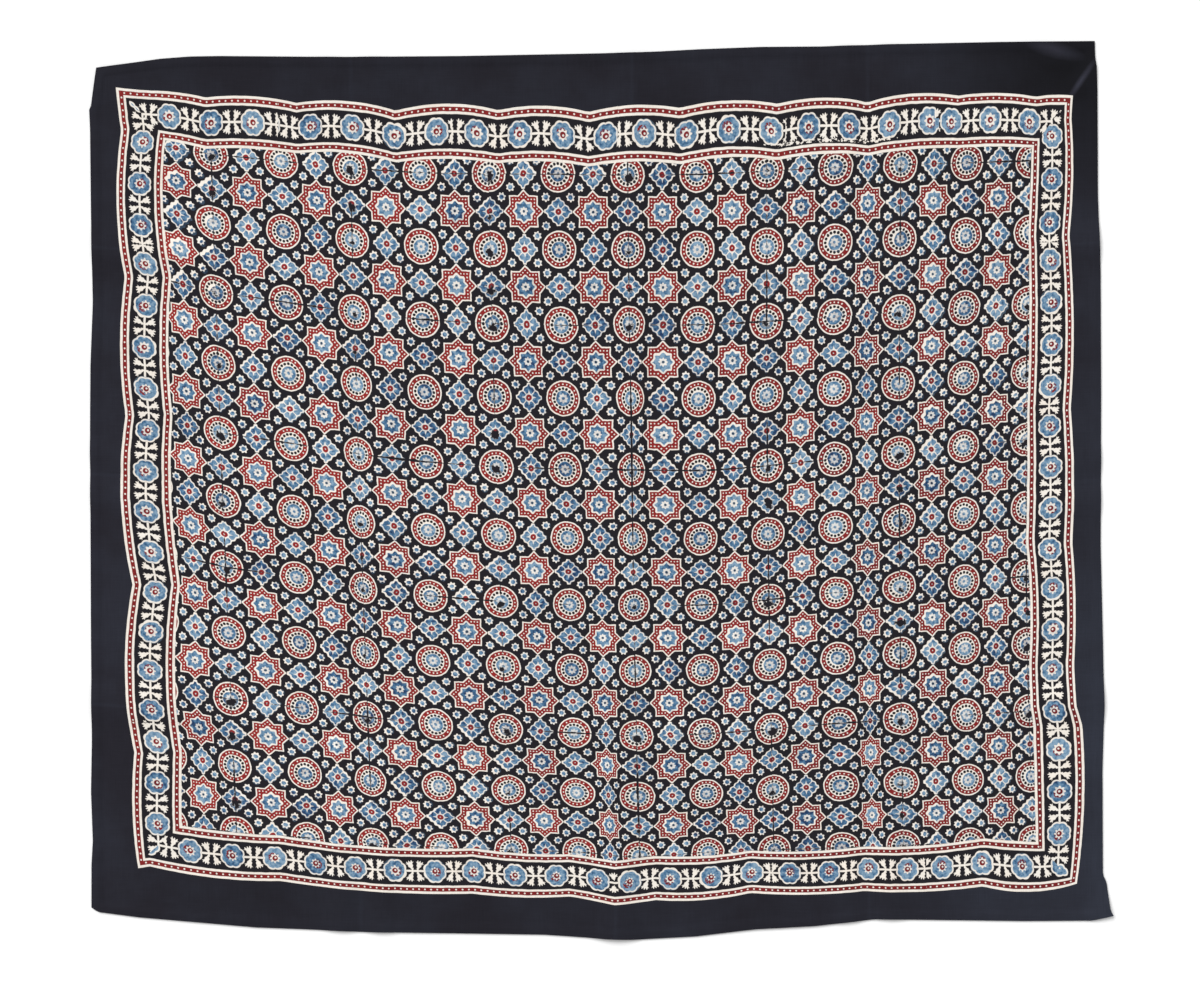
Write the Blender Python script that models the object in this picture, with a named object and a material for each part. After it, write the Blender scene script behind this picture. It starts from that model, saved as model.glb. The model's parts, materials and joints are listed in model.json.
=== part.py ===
"""Ajrakh cloth: one block-printed cotton cloth with a plain dark margin, laid out flat.

The cloth is one closed sheet. Its outline is as uneven as a hand-laid cloth, its narrow hem is turned
in the same cloth, and the creases of its folding in quarters both ways stand as soft ridges and
troughs. Everywhere else its underside is flat on the surface.

Metres, +Z up. The origin is the middle of the sheet's outer sizes, at the surface it lies on.
+X runs along the long side, +Y towards the top edge.
"""

from collections import namedtuple

import bmesh
import bpy
import numpy as np

MM = 0.001

NODE = "ajrakh_cloth"

# The cloth
THICKNESS = 1.2 * MM
HEM_THICKNESS = 2.0 * MM
HEM_WIDTH = 9 * MM
HEM_STEP = 1.5 * MM

# From the middle to the cloth's ends
HALF_LENGTH = 563 * MM
HALF_WIDTH = 494 * MM

# The four edges, seen from above with the middle of the cloth at zero: along is the place on the edge,
# out is how far the edge stands from the middle there, both in millimetres.
Edge = namedtuple("Edge", "along out")
TOP_EDGE = (
    Edge(-555, 465),
    Edge(-485, 475),
    Edge(-452, 477.5),
    Edge(-419, 478),
    Edge(-287, 477),
    Edge(-155, 478),
    Edge(-23, 480.5),
    Edge(43, 482),
    Edge(109, 485.5),
    Edge(175, 488),
    Edge(241, 488.5),
    Edge(340, 491.5),
    Edge(439, 493.5),
    Edge(543, 494.5),
)
BOTTOM_EDGE = (
    Edge(-560, 458),
    Edge(-554, 463),
    Edge(-508, 469),
    Edge(-425, 476),
    Edge(-380, 480),
    Edge(-326, 482),
    Edge(-260, 485),
    Edge(-62, 488),
    Edge(4, 492.5),
    Edge(37, 493.5),
    Edge(103, 490),
    Edge(169, 482),
    Edge(235, 478.5),
    Edge(301, 471),
    Edge(466, 473),
    Edge(540, 472.5),
    Edge(563, 467),
)
LEFT_EDGE = (
    Edge(-458, 560.5),
    Edge(-412, 560.5),
    Edge(-385, 559),
    Edge(-330, 561),
    Edge(-275, 560),
    Edge(-165, 561),
    Edge(70, 562),
    Edge(138, 561.5),
    Edge(207, 559),
    Edge(303, 561),
    Edge(396, 562),
    Edge(420, 563),
    Edge(423, 561),
    Edge(465, 555),
)
RIGHT_EDGE = (
    Edge(-467, 563),
    Edge(-461, 559.5),
    Edge(-430, 555.5),
    Edge(-422, 551.5),
    Edge(-308, 551),
    Edge(-240, 553),
    Edge(-165, 551.5),
    Edge(-60, 549),
    Edge(105, 549.5),
    Edge(242, 549),
    Edge(325, 546),
    Edge(442, 545.5),
    Edge(468, 544.5),
    Edge(475, 543),
    Edge(494, 542.5),
)

# Creases left by folding, each a ridge or a trough across the whole cloth: start, middle and end are its
# places at one edge, half way and the other edge, rise is its height at its start, fade is the share of
# it left at its end, and reach is its half width, all in millimetres but fade.
Crease = namedtuple("Crease", "start middle end rise fade reach trough")
UPRIGHT_CREASES = (
    Crease(-264, -266, -276, 2.8, 0.5, 46, True),
    Crease(15, 28, 34, 5.0, 0.5, 32, False),
    Crease(295, 291, 293, 2.2, 0.9, 46, True),
)
LEVEL_CREASES = (
    Crease(-234, -269, -231, 3.4, 0.8, 30, False),
    Crease(19, -22, 13, 2.2, 0.9, 46, True),
    Crease(268, 235, 274, 2.6, 1.1, 30, False),
)

# Soft swells where the cloth stands a little off the surface: the middle of each, its half sizes, how far
# it is turned in degrees, and its rise.
Swell = namedtuple("Swell", "x y half_x half_y turn rise")
SWELLS = (
    Swell(-420, -445, 95, 40, 0, 2.2),
    Swell(-210, -462, 80, 36, 0, 1.6),
    Swell(190, -462, 120, 38, 0, 1.8),
    Swell(515, -330, 40, 90, 0, 1.6),
    Swell(520, 120, 38, 110, 0, 1.4),
    Swell(496, 479, 55, 20, -15, 2.2),
    Swell(529, 450, 38, 18, 56, 2.6),
    Swell(558, -463, 30, 26, 0, 3.4),
    Swell(-545, 452, 44, 44, 0, 2.4),
    Swell(-535, 120, 40, 120, 0, 1.5),
)

# Grid steps between the hem and each crease in turn, left to right and bottom to top
COLUMN_STEPS = (12, 13, 12, 11)
ROW_STEPS = (10, 11, 11, 9)

# Rounds of finding where a column line meets a row line
MEETING_ROUNDS = 12

PRINTED_COTTON = {"colour": (0.055, 0.055, 0.085, 1.0), "roughness": 0.9, "metallic": 0.0}


def smooth_line(places, values):
    """A smooth curve through a few points, as a function of the place along it."""
    places = np.asarray(places, float)
    values = np.asarray(values, float)
    slopes = np.gradient(values, places)

    def at(place):
        place = np.clip(place, places[0], places[-1])
        span = np.clip(np.searchsorted(places, place) - 1, 0, len(places) - 2)
        length = places[span + 1] - places[span]
        t = (place - places[span]) / length
        start = values[span] * (1 + 2 * t) * (1 - t) ** 2 + slopes[span] * length * t * (1 - t) ** 2
        end = values[span + 1] * t**2 * (3 - 2 * t) + slopes[span + 1] * length * t**2 * (t - 1)
        return start + end

    return at


def edge_line(edge, side):
    """One edge of the cloth, straight from point to point: side is +1 for the top and right, else -1."""
    along = [point.along * MM for point in edge]
    out = [side * point.out * MM for point in edge]
    return lambda place: np.interp(place, along, out)


def crease_line(crease, half_length):
    """A crease's line across the cloth."""
    places = (-half_length, 0, half_length)
    return smooth_line(places, [crease.start * MM, crease.middle * MM, crease.end * MM])


def shifted(line, shift):
    """The same line, moved sideways."""
    return lambda place: line(place) + shift


def soft_bump(distance):
    """A soft hump: 1 at no distance, level again at a distance of 1 and beyond."""
    return np.clip(1 - distance**2, 0, 1) ** 2


def crease_height(crease, away, along):
    """Height over a crease: one ridge, or two low ones with a trough between.

    away is the distance to the crease's line, and along runs from 0 at its start to 1 at its end.
    """
    away = np.abs(away) / (crease.reach * MM)
    if crease.trough:
        away = 2 * away - 1
    rise = crease.rise * (1 + (crease.fade - 1) * along)
    return rise * MM * soft_bump(away)


def swell_height(swell, off_x, off_y):
    """Height over a swell, at distances from its middle."""
    turn = np.radians(swell.turn)
    along = (off_x * np.cos(turn) + off_y * np.sin(turn)) / (swell.half_x * MM)
    across = (off_y * np.cos(turn) - off_x * np.sin(turn)) / (swell.half_y * MM)
    return swell.rise * MM * soft_bump(np.hypot(along, across))


def relief(x, y, upright_lines, level_lines):
    """Height of the cloth's underside over the surface."""
    height = np.zeros_like(x)
    from_left = (x + HALF_LENGTH) / (2 * HALF_LENGTH)
    from_bottom = (y + HALF_WIDTH) / (2 * HALF_WIDTH)
    for crease, line in zip(UPRIGHT_CREASES, upright_lines):
        height = np.maximum(height, crease_height(crease, x - line(y), from_bottom))
    for crease, line in zip(LEVEL_CREASES, level_lines):
        height = np.maximum(height, crease_height(crease, y - line(x), from_left))
    for swell in SWELLS:
        height = np.maximum(height, swell_height(swell, x - swell.x * MM, y - swell.y * MM))
    return height


def line_shares(steps):
    """Places of the grid lines, counted in guide lines: the edge, the hem's two lines, then the creases."""
    shares = [0.0, 1.0]
    for number, count in enumerate(steps):
        first = 2.0 + number
        shares.extend(first + step / count for step in range(count))
    last = 2.0 + len(steps)
    shares.extend((last, last + 1, last + 2))
    return np.array(shares)


def place_on_lines(share, lines, place):
    """Where a grid line stands at a place: between the two guide lines that its share lies between."""
    rows = np.array([line(place) for line in lines])
    first = np.clip(np.floor(share).astype(int), 0, len(lines) - 2)
    part = share - first
    low = np.take_along_axis(rows, first[None], 0)[0]
    high = np.take_along_axis(rows, first[None] + 1, 0)[0]
    return low + part * (high - low)


def guide_lines(low_edge, high_edge, creases):
    """The guide lines of one direction: edge, hem line, hem step, creases, hem step, hem line, edge."""
    inner = HEM_WIDTH + HEM_STEP
    low = [low_edge, shifted(low_edge, HEM_WIDTH), shifted(low_edge, inner)]
    high = [shifted(high_edge, -inner), shifted(high_edge, -HEM_WIDTH), high_edge]
    return low + creases + high


def grid_points():
    """Plan places and thicknesses of the grid, and the relief under it."""
    left, right = edge_line(LEFT_EDGE, -1), edge_line(RIGHT_EDGE, 1)
    bottom, top = edge_line(BOTTOM_EDGE, -1), edge_line(TOP_EDGE, 1)
    upright = [crease_line(crease, HALF_WIDTH) for crease in UPRIGHT_CREASES]
    level = [crease_line(crease, HALF_LENGTH) for crease in LEVEL_CREASES]
    columns = guide_lines(left, right, upright)
    rows = guide_lines(bottom, top, level)
    column_share, row_share = np.meshgrid(line_shares(COLUMN_STEPS), line_shares(ROW_STEPS), indexing="ij")
    x = np.zeros_like(column_share)
    y = np.zeros_like(row_share)
    for _ in range(MEETING_ROUNDS):
        x = place_on_lines(column_share, columns, y)
        y = place_on_lines(row_share, rows, x)
    in_hem = (column_share <= 1) | (row_share <= 1)
    in_hem |= (column_share >= len(columns) - 2) | (row_share >= len(rows) - 2)
    thickness = np.where(in_hem, HEM_THICKNESS, THICKNESS)
    return x, y, relief(x, y, upright, level), thickness


def centred(values):
    """The same values, with the middle of their range at zero."""
    return values - (values.min() + values.max()) / 2


def sheet_mesh(name):
    """The closed sheet: an underside, an upper face and the rim between them."""
    x, y, under, thickness = grid_points()
    x, y = centred(x), centred(y)
    columns, rows = x.shape
    shape = bmesh.new()

    def layer(height):
        return [
            [shape.verts.new((x[i, j], y[i, j], height[i, j])) for j in range(rows)]
            for i in range(columns)
        ]

    low = layer(under)
    high = layer(under + thickness)
    for i in range(columns - 1):
        for j in range(rows - 1):
            shape.faces.new((high[i][j], high[i + 1][j], high[i + 1][j + 1], high[i][j + 1]))
            shape.faces.new((low[i][j + 1], low[i + 1][j + 1], low[i + 1][j], low[i][j]))
    for i in range(columns - 1):
        shape.faces.new((low[i][0], low[i + 1][0], high[i + 1][0], high[i][0]))
        shape.faces.new((high[i][-1], high[i + 1][-1], low[i + 1][-1], low[i][-1]))
    for j in range(rows - 1):
        shape.faces.new((high[0][j], high[0][j + 1], low[0][j + 1], low[0][j]))
        shape.faces.new((low[-1][j], low[-1][j + 1], high[-1][j + 1], high[-1][j]))
    bmesh.ops.triangulate(shape, faces=shape.faces)
    mesh = bpy.data.meshes.new(name)
    shape.to_mesh(mesh)
    shape.free()
    mesh.shade_smooth()
    mesh.set_sharp_from_angle(angle=np.radians(40))
    return mesh


def cloth_material(name, finish):
    """A plain matt cotton in the cloth's darkest dye."""
    material = bpy.data.materials.new(name)
    material.use_nodes = True
    shader = material.node_tree.nodes["Principled BSDF"]
    shader.inputs["Base Color"].default_value = finish["colour"]
    shader.inputs["Roughness"].default_value = finish["roughness"]
    shader.inputs["Metallic"].default_value = finish["metallic"]
    return material


def clear_scene():
    """Removes every object of the scene."""
    for thing in list(bpy.data.objects):
        bpy.data.objects.remove(thing, do_unlink=True)


def main():
    clear_scene()
    cloth = bpy.data.objects.new(NODE, sheet_mesh(NODE))
    cloth.data.materials.append(cloth_material("printed_cotton", PRINTED_COTTON))
    bpy.context.scene.collection.objects.link(cloth)


main()
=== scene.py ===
import json
from collections import namedtuple
from math import cos, pi, radians, sin, sqrt

import bpy
import numpy as np
from bpy.props import FloatProperty, FloatVectorProperty, PointerProperty
from bpy.types import Operator, Panel, PropertyGroup
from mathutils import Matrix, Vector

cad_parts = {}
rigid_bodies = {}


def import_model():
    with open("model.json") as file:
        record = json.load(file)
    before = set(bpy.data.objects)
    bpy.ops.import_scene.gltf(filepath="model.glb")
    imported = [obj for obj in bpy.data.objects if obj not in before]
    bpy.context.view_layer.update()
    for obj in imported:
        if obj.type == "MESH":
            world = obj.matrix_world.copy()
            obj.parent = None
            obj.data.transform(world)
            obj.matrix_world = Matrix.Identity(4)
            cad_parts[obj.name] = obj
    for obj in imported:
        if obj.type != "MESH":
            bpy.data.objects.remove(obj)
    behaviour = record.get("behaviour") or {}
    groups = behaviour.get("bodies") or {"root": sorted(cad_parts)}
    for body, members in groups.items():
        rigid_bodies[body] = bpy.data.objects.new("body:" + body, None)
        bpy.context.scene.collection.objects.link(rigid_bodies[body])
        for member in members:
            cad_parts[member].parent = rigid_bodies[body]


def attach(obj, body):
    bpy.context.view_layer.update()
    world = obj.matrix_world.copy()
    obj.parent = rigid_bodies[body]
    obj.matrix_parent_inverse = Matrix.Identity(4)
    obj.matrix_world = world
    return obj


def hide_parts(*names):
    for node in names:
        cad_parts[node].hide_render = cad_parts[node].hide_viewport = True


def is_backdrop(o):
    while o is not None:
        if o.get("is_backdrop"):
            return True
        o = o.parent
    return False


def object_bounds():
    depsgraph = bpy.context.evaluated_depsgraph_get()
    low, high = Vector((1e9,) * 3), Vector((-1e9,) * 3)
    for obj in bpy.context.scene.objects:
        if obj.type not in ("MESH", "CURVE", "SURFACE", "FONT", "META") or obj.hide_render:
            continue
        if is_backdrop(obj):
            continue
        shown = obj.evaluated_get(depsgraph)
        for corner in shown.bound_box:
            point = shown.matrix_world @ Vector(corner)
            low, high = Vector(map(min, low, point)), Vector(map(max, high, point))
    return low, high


# The looks of the ajrakh cloth: one printed cotton sheet that stands for the plain CAD sheet, and the
# stage around it. The print is made in the order of the craft. Each printing block is set down by hand
# at its own place, so the sheet carries the print's own coordinates, and the dyes are worked out from
# them: a white resist line, a madder red, an indigo that may slip, and a black ground.

bl_info = {
    "name": "Ajrakh cloth",
    "version": (1, 0, 0),
    "blender": (4, 5, 0),
    "location": "View3D > Sidebar > Ajrakh",
    "description": "Makes a block-printed ajrakh cloth over its packed frame, and a stage around it",
    "category": "Object",
}

for thing in list(bpy.data.objects):
    bpy.data.objects.remove(thing, do_unlink=True)
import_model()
CAD_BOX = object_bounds()

MM = 0.001
CAD_NODE = "ajrakh_cloth"
CLOTH = "ajrakh_cloth_printed"
PRINT_UV = "print"


def table(kind, *rows):
    """A table whose rows have the named columns of their kind."""
    return [kind(*row) for row in rows]


# The cloth, as in the CAD, in metres
HALF_LENGTH = 563 * MM
HALF_WIDTH = 494 * MM

# The four edges, in millimetres from the middle: along is the place on the edge, out its distance there
Edge = namedtuple("Edge", "along out")
TOP_EDGE = table(
    Edge, (-555, 465), (-485, 475), (-452, 477.5), (-419, 478), (-287, 477), (-155, 478), (-23, 480.5),
    (43, 482), (109, 485.5), (175, 488), (241, 488.5), (340, 491.5), (439, 493.5), (543, 494.5),
)
BOTTOM_EDGE = table(
    Edge, (-560, 458), (-554, 463), (-508, 469), (-425, 476), (-380, 480), (-326, 482), (-260, 485),
    (-62, 488), (4, 492.5), (37, 493.5), (103, 490), (169, 482), (235, 478.5), (301, 471), (466, 473),
    (540, 472.5), (563, 467),
)
LEFT_EDGE = table(
    Edge, (-458, 560.5), (-412, 560.5), (-385, 559), (-330, 561), (-275, 560), (-165, 561), (70, 562),
    (138, 561.5), (207, 559), (303, 561), (396, 562), (420, 563), (423, 561), (465, 555),
)
RIGHT_EDGE = table(
    Edge, (-467, 563), (-461, 559.5), (-430, 555.5), (-422, 551.5), (-308, 551), (-240, 553),
    (-165, 551.5), (-60, 549), (105, 549.5), (242, 549), (325, 546), (442, 545.5), (468, 544.5),
    (475, 543), (494, 542.5),
)

# Creases and swells, as in the CAD, in millimetres and degrees. A crease has its place where its line starts,
# in the middle and where it ends, its rise, the share of that at the end, its reach to each side, and
# whether it is a trough between two low ridges.
Crease = namedtuple("Crease", "start middle end rise fade reach trough")
UPRIGHT_CREASES = table(
    Crease, (-264, -266, -276, 2.8, 0.5, 46, True), (15, 28, 34, 5, 0.5, 32, False),
    (295, 291, 293, 2.2, 0.9, 46, True),
)
LEVEL_CREASES = table(
    Crease, (-234, -269, -231, 3.4, 0.8, 30, False), (19, -22, 13, 2.2, 0.9, 46, True),
    (268, 235, 274, 2.6, 1.1, 30, False),
)
Swell = namedtuple("Swell", "x y half_x half_y turn rise")
SWELLS = table(
    Swell, (-420, -445, 95, 40, 0, 2.2), (-210, -462, 80, 36, 0, 1.6), (190, -462, 120, 38, 0, 1.8),
    (515, -330, 40, 90, 0, 1.6), (520, 120, 38, 110, 0, 1.4), (496, 479, 55, 20, -15, 2.2),
    (529, 450, 38, 18, 56, 2.6), (558, -463, 30, 26, 0, 3.4), (-545, 452, 44, 44, 0, 2.4),
    (-535, 120, 40, 120, 0, 1.5),
)

# Where the margin is painted lighter or darker: painted highlights along the two fold ridges at the top right
# corner, painted shade over that corner around them, and a lighter left margin. Each is an oval's middle,
# half sizes and turn, in millimetres and degrees, and by how much.
Patch = namedtuple("Patch", "x y half_x half_y turn lighter")
SHEEN_AND_SHADE_PATCHES = table(
    Patch, (-561, -120, 120, 700, 0, 0.25), (515, 465, 180, 180, 0, -0.7), (499, 484, 36, 10, -14, 3.3),
    (527, 450, 34, 4.4, 56, 4.6),
)

# The border's outer and inner lines run in shallow arches that meet in cusps. Each row is a cusp, in
# millimetres from the middle: its place along the side, how far out the outer line is there and how much
# its next arch bulges, then the same for the inner line.
Cusp = namedtuple("Cusp", "along outer outer_bulge inner inner_bulge")
TOP_CUSPS = table(
    Cusp, (-534, 443.5, -0.5, 389, 0), (-491, 440, 1.5, 387, 1), (-435, 432.5, 4.5, 376, 2.7),
    (-335, 426.5, 6.3, 371, 5.4), (-226, 418, 7.5, 361, 4.5), (-113, 418.5, 6, 360, 4),
    (-14, 416.5, 5.3, 356.5, 4), (87, 421, 6, 359, 5.5), (194, 425.5, 6, 363.5, 4.5),
    (293, 427, 6.1, 368.5, 2.6), (392, 434.5, 3.5, 377, 1.5), (478, 433.5, 1.5, 377, 0),
    (518, 434.5, 0, 377, 0),
)
BOTTOM_CUSPS = table(
    Cusp, (-508, 415, 0, 361, 0), (-496, 413, 4.5, 362, 3), (-353, 429, 4.8, 379, 5.5),
    (-141, 443, 2.7, 393, 2.5), (-34, 446, 0, 399.5, 0), (15, 455, 0.5, 406.5, 0),
    (60, 450, 4, 401.5, 3), (164, 442, 3, 395.5, 3.2), (288, 440, 3.3, 391, 3.6),
    (420, 435, 7.5, 382, 1.8), (523, 432, 0, 386, 0),
)
LEFT_CUSPS = table(
    Cusp, (-419, 508.5, 4.5, 459.5, 1.2), (-288, 513.5, 9.4, 461, 6.7), (-103, 515.5, 9, 463, 5),
    (83, 523, 5.5, 471.5, 4), (235, 524, 7, 472.5, 6.8), (396, 528, 0.5, 478, 0),
    (443, 533.5, 0, 479, 0),
)
RIGHT_CUSPS = table(
    Cusp, (-432, 523, 4.8, 479, 0), (-258, 529, 0, 475, 0), (-236, 522, 0, 471.5, 0),
    (-190, 520, 2.6, 470.5, 3), (-57, 518, 2.7, 467, 0.5), (91, 516, 4.2, 468.5, 1.8),
    (280, 514.5, 3.2, 469.5, 0.5), (410, 517, 0, 474, 0), (434, 518.5, 0, 475, 0),
)

# The border block prints four flowers at a time. Each row is one setting of it, in millimetres along the
# side: where its print starts, the place of its first flower, and the step from flower to flower.
# Flowers are counted from one setting to the next in steps of the gap.
SETTING_GAP = 20
Setting = namedtuple("Setting", "start first step")
TOP_SETTINGS = table(
    Setting, (-600, -475, 45.9), (-355, -320, 46.2), (-165, -137, 47.3), (18, 47, 46.6),
    (203, 228, 44.4), (369, 385, 42.9),
)
BOTTOM_SETTINGS = table(
    Setting, (-600, -452, 46.6), (-336, -314, 43.7), (-162, -140, 45.4), (14, 31, 44.9),
    (187, 207, 43.2), (356, 375, 44),
)
LEFT_SETTINGS = table(
    Setting, (-600, -366, 45), (-255, -241, 43.2), (-89, -67, 44.4), (89, 112, 45.8),
    (271, 292, 45.7),
)
RIGHT_SETTINGS = table(
    Setting, (-600, -377, 46.5), (-263, -242, 44.8), (-86, -64, 45.1), (93, 115, 46.2),
    (274, 295, 47.4),
)

# Where the field's print lies. The rosettes stand in thirteen columns and eleven rows. First each
# column's place across the cloth at the top, in the middle and at the bottom, then the height of every
# other row at seven of the columns, all in millimetres from the middle.
Column = namedtuple("Column", "top middle bottom")
ROSETTE_COLUMNS = table(
    Column, (-429, -416, -401), (-352, -338, -322), (-276, -264.5, -251), (-200, -190.5, -175.5),
    (-124, -113, -99), (-48, -37.5, -24.5), (29, 34.2, 43), (105, 109.5, 117), (182, 183.5, 190),
    (256.5, 257, 264), (329.5, 328, 333), (402, 398.5, 405), (473, 467, 475),
)
Row = namedtuple("Row", "first fourth sixth seventh eighth tenth thirteenth")
ROW_COLUMNS = (0, 3, 5, 6, 7, 9, 12)
ROSETTE_ROWS = table(
    Row, (370, 350, 348, 347, 348, 355.5, 363), (218, 188.5, 182, 182.5, 182.5, 191.5, 206),
    (63.5, 32, 24, 23, 22.5, 35, 56.5), (-84, -115.5, -125, -125.5, -125.5, -112, -94),
    (-229, -256.5, -266, -269, -267, -255.5, -242), (-376, -392, -397.5, -402, -397.5, -392.5, -384.5),
)
ROW_STEP = 2
LAST_ROW = 10

# Where a crease takes up cloth, the print is pinched: the pinch's place in columns and rows, its half width
# and half height there, and how far its sides draw in, in millimetres.
Pinch = namedtuple("Pinch", "column row half_columns half_rows draw")
PINCHES = table(
    Pinch, (2, 5.5, 0.25, 3.5, 2.7), (6.05, 3.6, 0.25, 1.7, 3.4), (5.55, 9.2, 0.25, 1.4, 4),
    (9.5, 4, 0.25, 12, 2), (9.5, 8.9, 0.28, 1.6, 2.4),
)

# Left of the first column of rosettes, the blocks stand turned: how far the print is moved half a column out
# from there, at some of its rows, in millimetres.
Turn = namedtuple("Turn", "row right up")
LEFT_TURNS = table(
    Turn, (0, 0, 3.5), (1, -1, 6.2), (2, 3, 4.2), (3.5, 3, 2.5), (5, 2.5, 4.4), (6.5, 4.5, 2.6),
    (8, 1, 1.2), (9, 5.5, 2.3), (10, 4, 2),
)

# Steps of the sheet's grid over the hem, its slope, the margin, the border and the field, and back
COLUMN_STEPS = (2, 1, 6, 11, 186, 11, 6, 1, 2)
ROW_STEPS = (2, 1, 8, 11, 154, 11, 9, 1, 2)
# Rounds of finding where the grid's lines meet, and where a place lies in the print
MEETING_ROUNDS = 12
NEWTON_ROUNDS = 14
# The parts of the cloth in the order of their materials, then over the same bands as the steps, and the
# two ways that a side runs
MARGIN, BORDER, FIELD = range(3)
PARTS = (MARGIN, MARGIN, MARGIN, BORDER, FIELD, BORDER, MARGIN, MARGIN, MARGIN)
UPRIGHT, LEVEL = range(2)

# The printed motifs, in millimetres
CELL = 76.0
ROSETTE, ROSETTE_BAND, ROSETTE_CREAM, ROSETTE_EYE = 18.8, 17.3, 12.8, 8.1
RED_BEADS, RED_BEAD_RING, RED_BEAD = 22, 15.0, 0.9
BLACK_BEADS, BLACK_BEAD_RING, BLACK_BEAD = 16, 10.3, 1.6
STAR, STAR_RED, STAR_INNER, STAR_BLUNT = 15.8, 1.45, 6.5, 12.3
STAR_BEAD_DEPTH, STAR_BEAD_STEPS, STAR_BEAD = 3.9, 2, 0.82
HEART_TIP, HEART_NOTCH = 10.8, 8.0
EYE_FLOWER, EYE_CENTRE, EYE_PIP = 4.1, 1.6, 1.3
LOZENGE, LOZENGE_TIP, LOZENGE_LINE, LOZENGE_WAVE, LOZENGE_LOBE = 10.8, 14.3, 1.3, 0.55, 6.4
LOZENGE_SQUEEZE = 0.93
LOZENGE_EYE, LOZENGE_HEART, LOZENGE_RAY, LOZENGE_VEIN = 3.1, 4.5, 8.0, 0.5
BLOSSOM_FAR, BLOSSOM_NEAR, BLOSSOM, BLOSSOM_EYE = 23.7, 13.7, 4.1, 2.5
FLOWER_STEP = 46.0
BAND = 55.0
BAND_WHITE, BAND_RED, BAND_LINE, BAND_GROUND = 27.5, 24.5, 20.0, 17.3
BAND_BEADS, BAND_BEAD = 6.6, 1.05
FLOWER, FLOWER_LINE, FLOWER_WAVE, FLOWER_SQUEEZE = 13.8, 1.8, 0.7, 1.06
FLOWER_HEART, FLOWER_EYE, FLOWER_PIP, FLOWER_STRAY = 6.4, 3.2, 1.3, 5.4
STALK, LEAF_STEMS, LEAF_LEAN, LEAF_HALF = 1.2, 2.7, 0.35, 0.37
LEAF_REACH, LEAF_TEETH, LEAF_TOOTH, LEAF_LOBE = 11.5, 26, 1.1, 0.06
THREAD_STEP = 0.45

# The soft edge of a printed shape, and how far a blot lies below its crossing, in millimetres
SOFT_EDGE, BLOT_LOW = 0.5, 3.5
# The repeats to a block each way, and the column of rosettes where the joint is widest
PRINTS_PER_BLOCK, WIDEST_JOINT = 2, 6
# The stretch of the top border where black was lost: its middle, half length and lowest place, in metres
LOST_X, LOST_HALF, LOST_LOW = 0.255, 0.08, 0.3


def dye(*levels):
    """A colour as Blender keeps it, from the eight-bit values of a colour picker."""
    shares = [level / 255 for level in levels]
    return tuple(s / 12.92 if s <= 0.04045 else ((s + 0.055) / 1.055) ** 2.4 for s in shares)


def colour_property(name, description, default):
    return FloatVectorProperty(
        name=name, description=description, default=default, size=3, min=0, max=1, subtype="COLOR"
    )


def size_property(name, description, default, unit="LENGTH"):
    return FloatProperty(name=name, description=description, default=default, min=0, unit=unit)


class ClothSizes(PropertyGroup):
    thickness: size_property("Thickness", "Thickness of the sheet", 1.2 * MM)
    hem_thickness: size_property("Hem thickness", "Thickness of the turned hem", 2.0 * MM)
    hem_width: size_property("Hem width", "From the edge to the hem's fold", 9 * MM)
    hem_step: size_property("Hem step", "Width of the slope down from the hem", 1.5 * MM)
    block_slip: size_property("Block slip", "How far a block may be set from its place", 0.6 * MM)
    indigo_slip: size_property("Indigo slip", "How far the indigo may slip from the lines", 1.6 * MM)


class ClothDyes(PropertyGroup):
    ground: colour_property("Ground", "Black ground of the print", dye(29, 27, 32))
    margin: colour_property("Margin", "Plain dyed margin", dye(28, 27, 34))
    # The faded blue is also the colour of the painted highlight along the margin's creases.
    faded_and_crease_light: colour_property("Faded margin", "Margin where it has gone blue", dye(45, 49, 60))
    white: colour_property("White", "Undyed cotton", dye(232, 229, 222))
    cream: colour_property("Cream", "Stained cotton", dye(226, 214, 200))
    red: colour_property("Red", "Madder red", dye(142, 38, 36))
    dark_red: colour_property("Dark red", "Madder red where it took well", dye(92, 26, 30))
    pale_blue: colour_property("Pale blue", "Thin indigo", dye(128, 155, 176))
    blue: colour_property("Blue", "Indigo", dye(70, 107, 139))
    deep_blue: colour_property("Deep blue", "Indigo where it took well", dye(32, 54, 88))


class StageLight(PropertyGroup):
    floor: colour_property("Floor", "Pale floor", dye(244, 244, 244))
    surround: size_property("Surround", "Light from all round", 0.62, "NONE")
    lamp: size_property("Lamp", "Strength of the soft lamp", 2.5, "NONE")
    spread: size_property("Lamp spread", "How large the lamp looks", radians(40), "ROTATION")
    picture_width: size_property("Picture width", "Width of floor in the picture", 1.32)
    camera_height: size_property("Camera height", "Height of the camera over the floor", 3.2)


def smooth_line(places, values):
    """A smooth curve through a few points, straight on beyond its ends, as a function of the place."""
    places = np.asarray(places, float)
    values = np.asarray(values, float)
    slopes = np.gradient(values, places)

    def at(place):
        inside = np.clip(place, places[0], places[-1])
        span = np.clip(np.searchsorted(places, inside) - 1, 0, len(places) - 2)
        length = places[span + 1] - places[span]
        t = (inside - places[span]) / length
        start = values[span] * (1 + 2 * t) * (1 - t) ** 2 + slopes[span] * length * t * (1 - t) ** 2
        end = values[span + 1] * t**2 * (3 - 2 * t) + slopes[span + 1] * length * t**2 * (t - 1)
        beyond = np.where(place > inside, slopes[-1], slopes[0]) * (place - inside)
        return start + end + beyond

    return at


def edge_line(edge, side):
    """One edge of the cloth, straight from point to point: side is +1 for the top and right, else -1."""
    along, out = np.array(edge).T * MM
    return lambda place: np.interp(place, along, side * out)


def crease_line(crease, half_length):
    """A crease's line across the cloth."""
    line = smooth_line((-half_length, 0, half_length), np.array(crease[:3]) * MM)
    return lambda place: line(np.clip(place, -half_length, half_length))


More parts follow.
